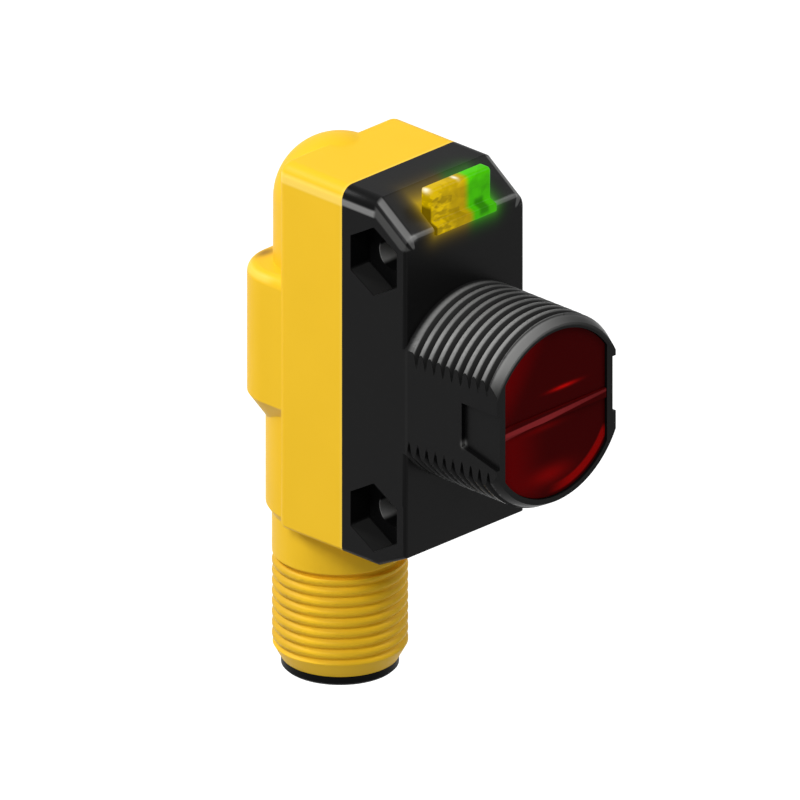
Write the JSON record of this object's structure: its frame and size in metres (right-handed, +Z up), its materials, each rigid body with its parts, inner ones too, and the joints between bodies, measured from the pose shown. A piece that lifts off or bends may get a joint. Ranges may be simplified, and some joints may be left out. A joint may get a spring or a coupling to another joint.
{
  "type": "through-beam photoelectric sensor receiver",
  "caption": "Compact block-shaped through-beam photoelectric receiver with a threaded lens barrel, side mounting holes, lit indicator window and round threaded connector.",
  "frame": {"origin": "half-way between the two mounting holes, on their axes' plane and on the optical axis", "axes": "+X across the sensor, from the nut pockets' side to the other, -Y the way the lens looks, +Z up, away from the connector"},
  "size_m": [0.015, 0.0333, 0.051],
  "materials": {
    "black_plastic": "fine satin",
    "yellow_plastic": "satin moulded",
    "red_lens": "polished, dark red",
    "clear_plastic": "polished",
    "insert_plastic": "satin",
    "seal_rubber": "matte",
    "blackened_metal": "blackened",
    "tinned_steel": "tinned",
    "detector_plastic": "smooth",
    "board_laminate": "lacquered",
    "green_lamp": "clear",
    "amber_lamp": "clear",
    "chip_plastic": "moulded",
    "capacitor_ceramic": "fired",
    "pin_brass": "gold flashed",
    "resin": "cast"
  },
  "bodies": {
    "root": {"front_cover": "black_plastic", "rear_housing": "yellow_plastic", "front_lens": "red_lens", "indicator_window": "clear_plastic", "connector_insert": "insert_plastic", "cover_gasket": "seal_rubber", "lens_gasket": "seal_rubber", "insert_o_ring": "seal_rubber", "optics_holder": "black_plastic", "aperture_plate": "blackened_metal", "detector_shield": "tinned_steel", "photodiode": "detector_plastic", "main_board": "board_laminate", "connector_board": "board_laminate", "green_led": "green_lamp", "amber_led": "amber_lamp", "signal_chip": "chip_plastic", "output_transistors": "chip_plastic", "protection_diodes": "chip_plastic", "board_capacitors": "capacitor_ceramic", "board_resistors": "chip_plastic", "board_link": "chip_plastic", "link_pins": "pin_brass", "contact_pin_1": "pin_brass", "contact_pin_2": "pin_brass", "contact_pin_3": "pin_brass", "contact_pin_4": "pin_brass", "potting_resin": "resin"}
  },
  "joints": []
}
